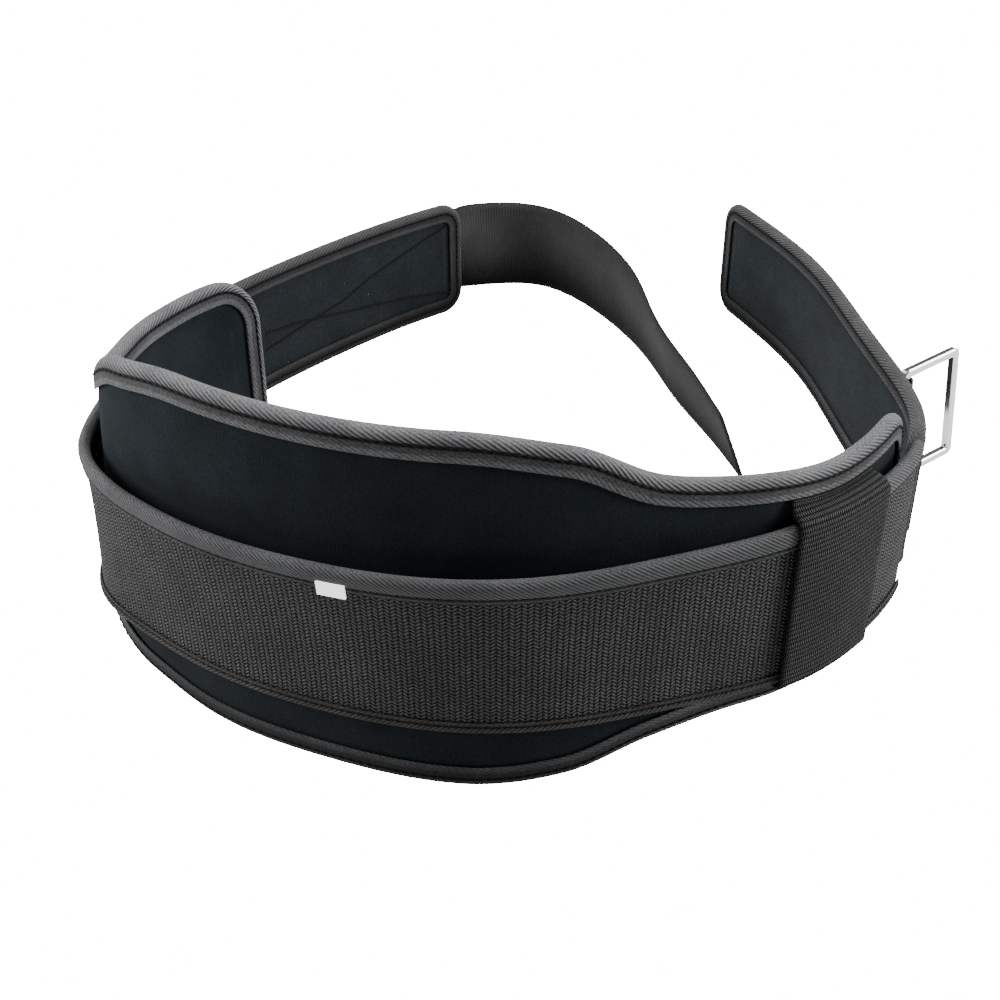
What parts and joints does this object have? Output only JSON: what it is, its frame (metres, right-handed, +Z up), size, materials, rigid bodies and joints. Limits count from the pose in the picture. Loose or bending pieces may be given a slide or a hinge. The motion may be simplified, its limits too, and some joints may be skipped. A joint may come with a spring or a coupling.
{
  "type": "weightlifting belt",
  "caption": "Open weightlifting belt on its edge: contoured foam back pad, webbing band in two keepers, soft wings, free strap and metal ring.",
  "frame": {"origin": "centre of the belt's plan box, on the surface it stands on", "axes": "+X to the wearer's right as seen from behind the belt, +Y from the back pad towards the open front, +Z up"},
  "size_m": [0.4108, 0.4176, 0.1642],
  "materials": {
    "pad_cloth": "matt smooth knit over foam",
    "wing_cloth": "matt velvety loop cloth",
    "binding_tape": "twill tape",
    "webbing": "woven webbing",
    "ring_metal": "bright plated",
    "tag_cloth": "plain white"
  },
  "bodies": {
    "belt": {"back_pad": "pad_cloth", "back_pad_binding": "binding_tape", "web_panel": "webbing", "web_top_binding": "binding_tape", "web_bottom_binding": "binding_tape", "keeper_right": "webbing", "keeper_left": "webbing", "right_wing": "wing_cloth", "right_wing_binding": "binding_tape", "left_wing": "wing_cloth", "left_wing_binding": "binding_tape", "strap": "webbing", "buckle_tab": "webbing", "size_tag": "tag_cloth"},
    "ring": {"buckle_ring": "ring_metal"}
  },
  "joints": [
    {"name": "ring_turn", "type": "hinge", "parent": "belt", "child": "ring", "pos_m": [0.17141, -0.02204, 0.05378], "axis": [-0.0844, 0.1222, 0.9889], "range_deg": [-100, 55]}
  ]
}
